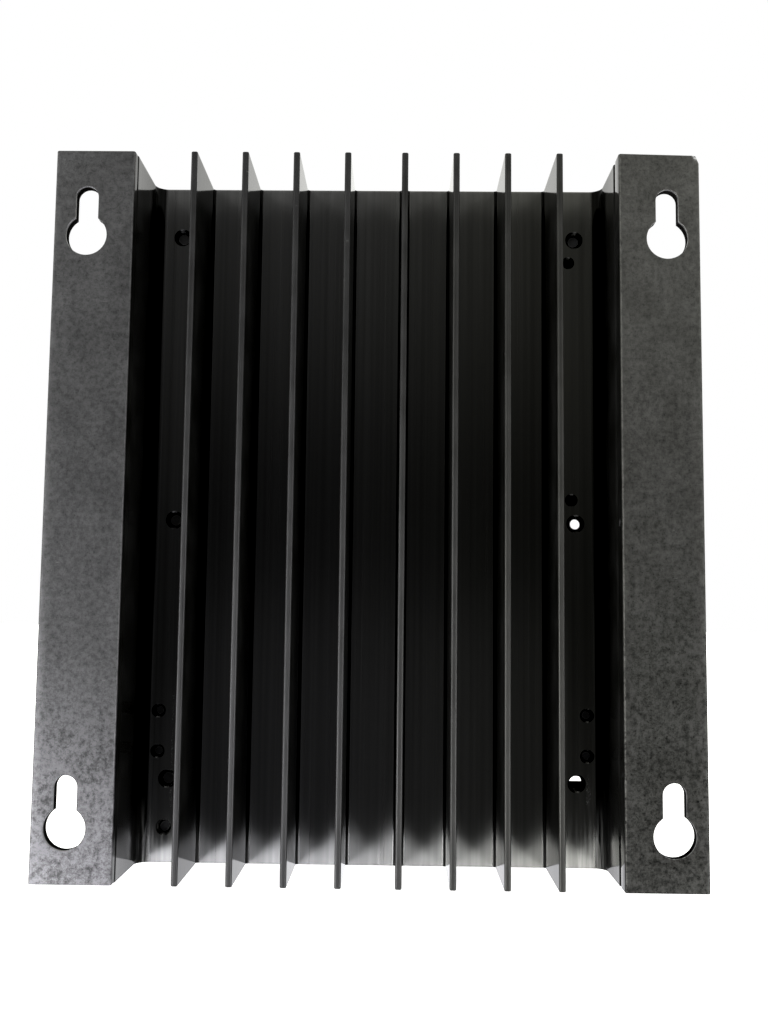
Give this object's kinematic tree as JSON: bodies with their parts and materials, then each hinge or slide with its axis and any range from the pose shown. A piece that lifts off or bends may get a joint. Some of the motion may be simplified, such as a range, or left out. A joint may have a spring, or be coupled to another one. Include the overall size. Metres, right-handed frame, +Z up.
{
  "type": "charge controller",
  "caption": "Wall-mounted solar charge controller: finned black chassis with keyhole flanges, folded covers, display, buttons and clamp terminals.",
  "frame": {"origin": "centre of the plane that lies on the wall, which holds the flanges' rear faces and the fin tips", "axes": "+Z up along the fins, +Y into the wall, -Y out of the front"},
  "size_m": [0.2, 0.0718, 0.2243],
  "materials": {
    "chassis_anodised": "black anodised, satin",
    "cover_paint": "black powder coat, satin",
    "zinc_hardware": "zinc plated",
    "black_screw_steel": "black oxide",
    "brass_hardware": "nickel plated brass",
    "tinned_copper": "tinned copper",
    "circuit_board": "green solder mask",
    "black_plastic": "moulded, satin",
    "terminal_plastic": "moulded, satin",
    "button_plastic": "moulded, fine grain",
    "silicone_pad": "matt",
    "grommet_rubber": "matt black",
    "clear_window": "clear polycarbonate",
    "led_lens": "diffused lens",
    "capacitor_sleeve": "shrink sleeve",
    "display_frame": "dark metal frame and grey glass",
    "label_film": "textured film, blank"
  },
  "bodies": {
    "chassis": {"board_screw_1": "black_screw_steel", "board_screw_2": "black_screw_steel", "board_screw_3": "black_screw_steel", "board_screw_4": "black_screw_steel", "board_standoff_1": "brass_hardware", "board_standoff_2": "brass_hardware", "board_standoff_3": "brass_hardware", "board_standoff_4": "brass_hardware", "capacitor_1": "capacitor_sleeve", "capacitor_2": "capacitor_sleeve", "clamp_bar_screw_1": "black_screw_steel", "clamp_bar_screw_2": "black_screw_steel", "current_bar_1": "tinned_copper", "current_bar_2": "tinned_copper", "current_bar_3": "tinned_copper", "current_bar_4": "tinned_copper", "display_module": "display_frame", "ground_screw": "black_screw_steel", "ground_washer": "zinc_hardware", "heatsink_chassis": "chassis_anodised", "insulating_pad": "silicone_pad", "key_switch_1": "black_plastic", "key_switch_2": "black_plastic", "main_circuit_board": "circuit_board", "power_transistor_1": "black_plastic", "power_transistor_2": "black_plastic", "power_transistor_3": "black_plastic", "power_transistor_4": "black_plastic", "status_led_1": "led_lens", "status_led_2": "led_lens", "status_led_3": "led_lens", "terminal_housing": "terminal_plastic", "terminal_plate": "zinc_hardware", "terminal_plate_screw_1": "black_screw_steel", "terminal_plate_screw_2": "black_screw_steel", "terminal_plate_screw_3": "black_screw_steel", "terminal_plate_screw_4": "black_screw_steel", "transistor_clamp_bar": "zinc_hardware"},
    "front_cover": {"front_cover": "cover_paint", "front_label": "label_film", "display_window": "clear_window", "front_cover_screw_1": "black_screw_steel", "front_cover_screw_2": "black_screw_steel", "front_cover_screw_3": "black_screw_steel"},
    "wiring_cover": {"wiring_cover": "cover_paint", "wiring_cover_screw": "black_screw_steel", "cable_grommet_1": "grommet_rubber", "cable_grommet_2": "grommet_rubber"},
    "push_button_1": {"push_button_1": "button_plastic"},
    "push_button_2": {"push_button_2": "button_plastic"},
    "clamp_screw_1": {"clamp_screw_1": "zinc_hardware"},
    "clamp_cage_1": {"clamp_cage_1": "brass_hardware"},
    "clamp_screw_2": {"clamp_screw_2": "zinc_hardware"},
    "clamp_cage_2": {"clamp_cage_2": "brass_hardware"},
    "clamp_screw_3": {"clamp_screw_3": "zinc_hardware"},
    "clamp_cage_3": {"clamp_cage_3": "brass_hardware"},
    "clamp_screw_4": {"clamp_screw_4": "zinc_hardware"},
    "clamp_cage_4": {"clamp_cage_4": "brass_hardware"}
  },
  "joints": [
    {"name": "front_cover_lift", "type": "slide", "parent": "chassis", "child": "front_cover", "axis": [0, -1, 0], "range_m": [0, 0.06]},
    {"name": "wiring_cover_lift", "type": "slide", "parent": "chassis", "child": "wiring_cover", "axis": [0, -1, 0], "range_m": [0, 0.06]},
    {"name": "push_button_1_press", "type": "slide", "parent": "chassis", "child": "push_button_1", "axis": [0, 1, 0], "range_m": [0, 0.001], "stiffness_N_per_m": 400, "springref_m": -0.002},
    {"name": "push_button_2_press", "type": "slide", "parent": "chassis", "child": "push_button_2", "axis": [0, 1, 0], "range_m": [0, 0.001], "stiffness_N_per_m": 400, "springref_m": -0.002},
    {"name": "clamp_screw_1_turn", "type": "hinge", "parent": "chassis", "child": "clamp_screw_1", "pos_m": [-0.033, -0.0617, -0.071], "axis": [0, -1, 0], "range_deg": [-2520, 0]},
    {"name": "clamp_cage_1_rise", "type": "slide", "parent": "chassis", "child": "clamp_cage_1", "axis": [0, -1, 0], "range_m": [0, 0.0056]},
    {"name": "clamp_screw_2_turn", "type": "hinge", "parent": "chassis", "child": "clamp_screw_2", "pos_m": [-0.011, -0.0617, -0.071], "axis": [0, -1, 0], "range_deg": [-2520, 0]},
    {"name": "clamp_cage_2_rise", "type": "slide", "parent": "chassis", "child": "clamp_cage_2", "axis": [0, -1, 0], "range_m": [0, 0.0056]},
    {"name": "clamp_screw_3_turn", "type": "hinge", "parent": "chassis", "child": "clamp_screw_3", "pos_m": [0.011, -0.0617, -0.071], "axis": [0, -1, 0], "range_deg": [-2520, 0]},
    {"name": "clamp_cage_3_rise", "type": "slide", "parent": "chassis", "child": "clamp_cage_3", "axis": [0, -1, 0], "range_m": [0, 0.0056]},
    {"name": "clamp_screw_4_turn", "type": "hinge", "parent": "chassis", "child": "clamp_screw_4", "pos_m": [0.033, -0.0617, -0.071], "axis": [0, -1, 0], "range_deg": [-2520, 0]},
    {"name": "clamp_cage_4_rise", "type": "slide", "parent": "chassis", "child": "clamp_cage_4", "axis": [0, -1, 0], "range_m": [0, 0.0056]}
  ],
  "couplings": [
    {"joint": "clamp_screw_1_turn", "follows": "clamp_cage_1_rise", "rad_per_m": -7854},
    {"joint": "clamp_screw_2_turn", "follows": "clamp_cage_2_rise", "rad_per_m": -7854},
    {"joint": "clamp_screw_3_turn", "follows": "clamp_cage_3_rise", "rad_per_m": -7854},
    {"joint": "clamp_screw_4_turn", "follows": "clamp_cage_4_rise", "rad_per_m": -7854}
  ]
}
